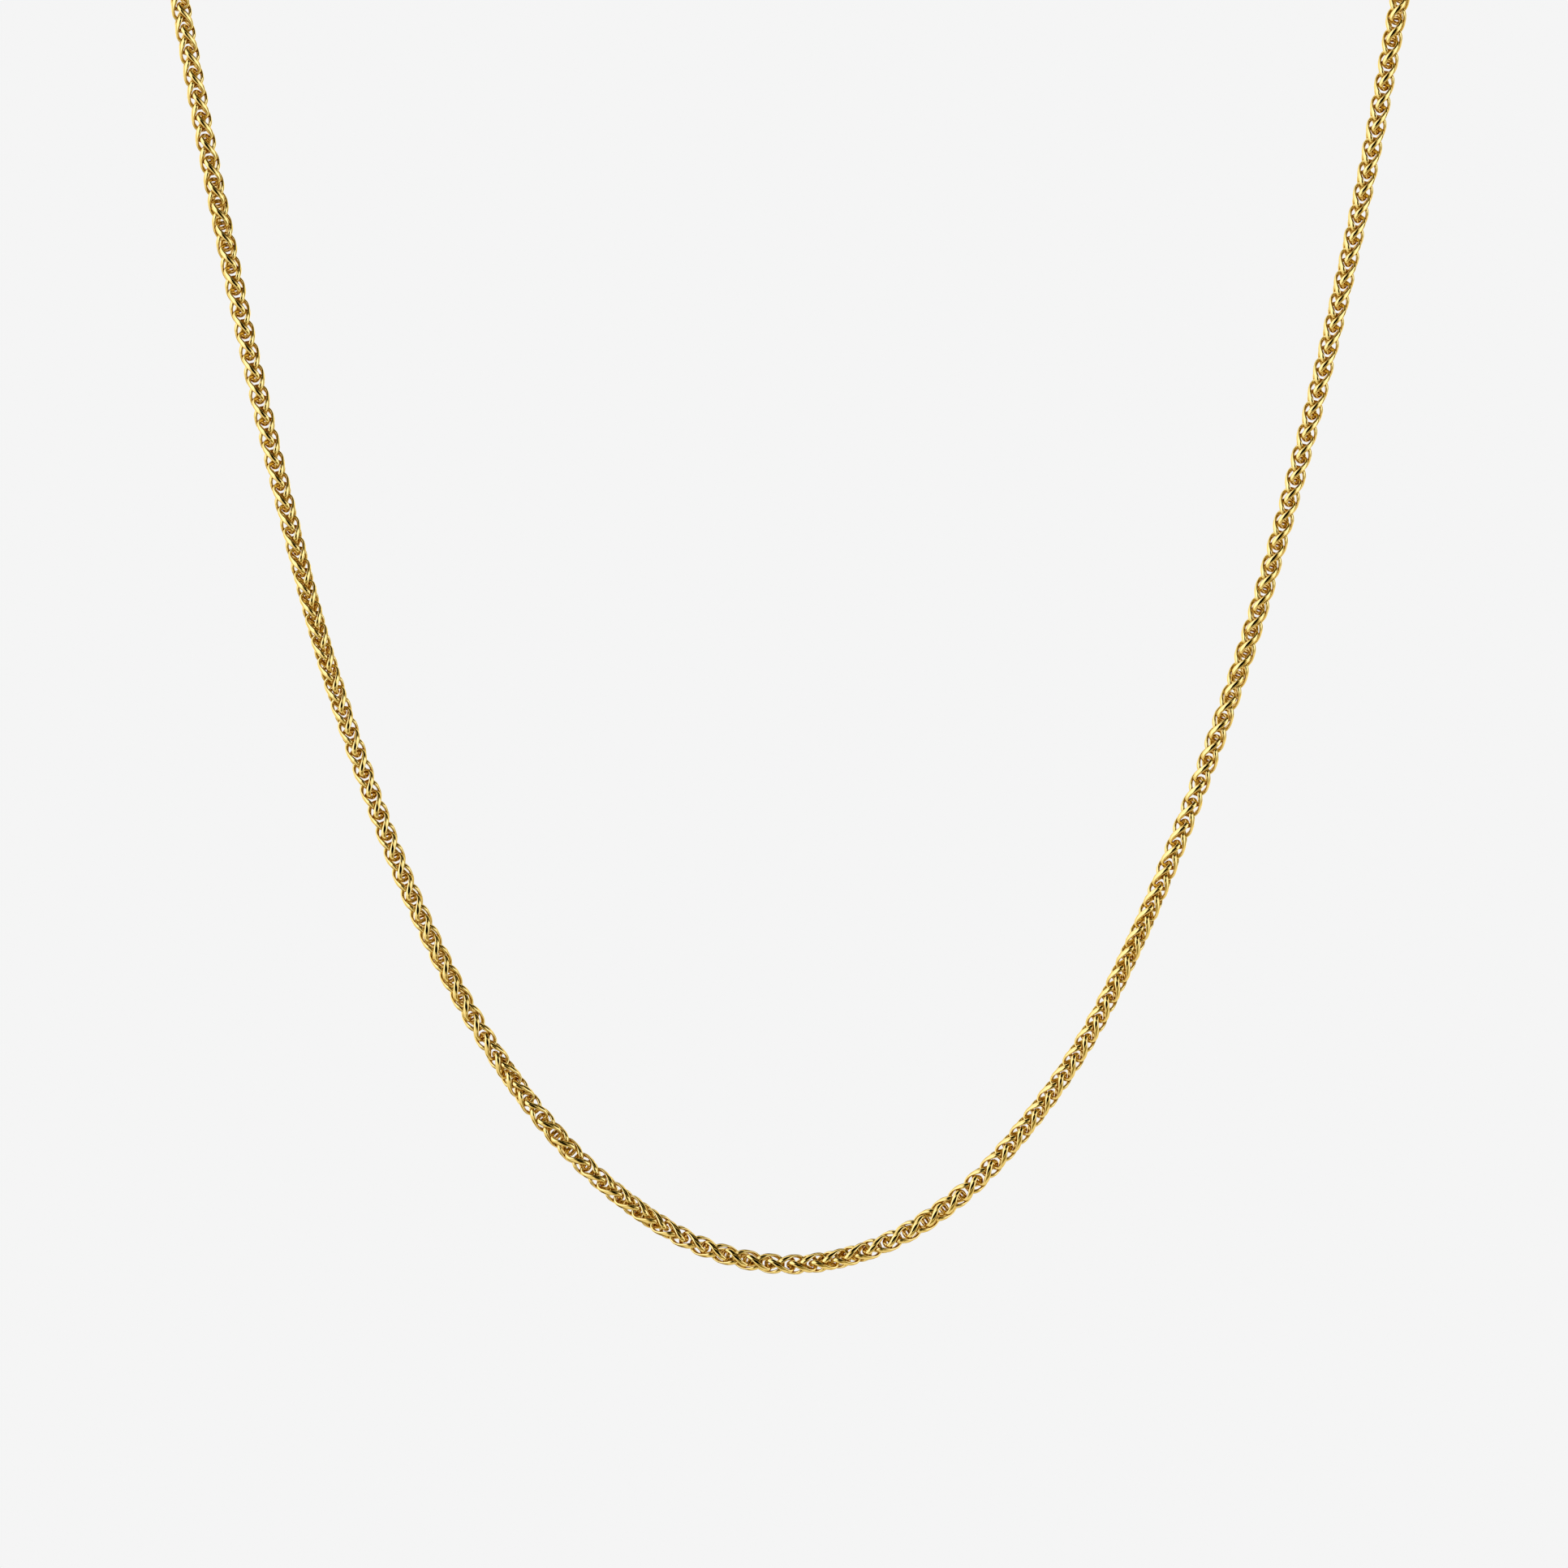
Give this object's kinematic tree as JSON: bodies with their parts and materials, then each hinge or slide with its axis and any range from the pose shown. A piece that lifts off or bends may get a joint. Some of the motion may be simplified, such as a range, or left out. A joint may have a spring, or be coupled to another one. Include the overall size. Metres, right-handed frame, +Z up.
{
  "type": "wheat-link neck chain",
  "caption": "Polished gold neck chain of interlocked round-wire wheat links, a closed loop with a drop in front and a plain clasp behind the neck.",
  "frame": {"origin": "middle of the neck hollow, level with the top of the front drop, 30 mm behind the drop's upright plane", "axes": "+Z up along the wearer's neck, -Y to the wearer's front, +X to the wearer's left"},
  "size_m": [0.117, 0.0786, 0.1487],
  "materials": {
    "polished_gold_links": "polished yellow gold wire, high shine",
    "polished_gold_fittings": "polished yellow gold, high shine"
  },
  "bodies": {
    "root": {"chain": "polished_gold_links", "end_ring_left": "polished_gold_fittings", "end_ring_right": "polished_gold_fittings", "clasp": "polished_gold_fittings"}
  },
  "joints": []
}
